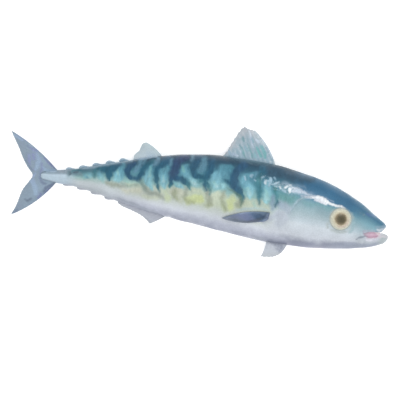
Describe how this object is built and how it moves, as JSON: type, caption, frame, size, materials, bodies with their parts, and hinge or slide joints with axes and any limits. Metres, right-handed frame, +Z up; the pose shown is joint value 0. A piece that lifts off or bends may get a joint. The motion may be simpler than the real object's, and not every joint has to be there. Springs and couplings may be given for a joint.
{
  "type": "whole raw mackerel",
  "caption": "Whole raw mackerel lying on its side, with blue-green banded back, silver belly, fins, finlets, forked tail and a slightly open mouth.",
  "frame": {"origin": "on the surface the fish lies on, under the middle of its bounding box", "axes": "+X from tail to snout, +Y from belly to back, +Z up out of the right flank, which is the shown one"},
  "size_m": [0.35, 0.114, 0.0454],
  "materials": {
    "skin": "wet, glossy and silvery",
    "eye": "wet and clear"
  },
  "bodies": {
    "root": {"fish": "skin", "eye_right": "eye", "eye_left": "eye"}
  },
  "joints": []
}
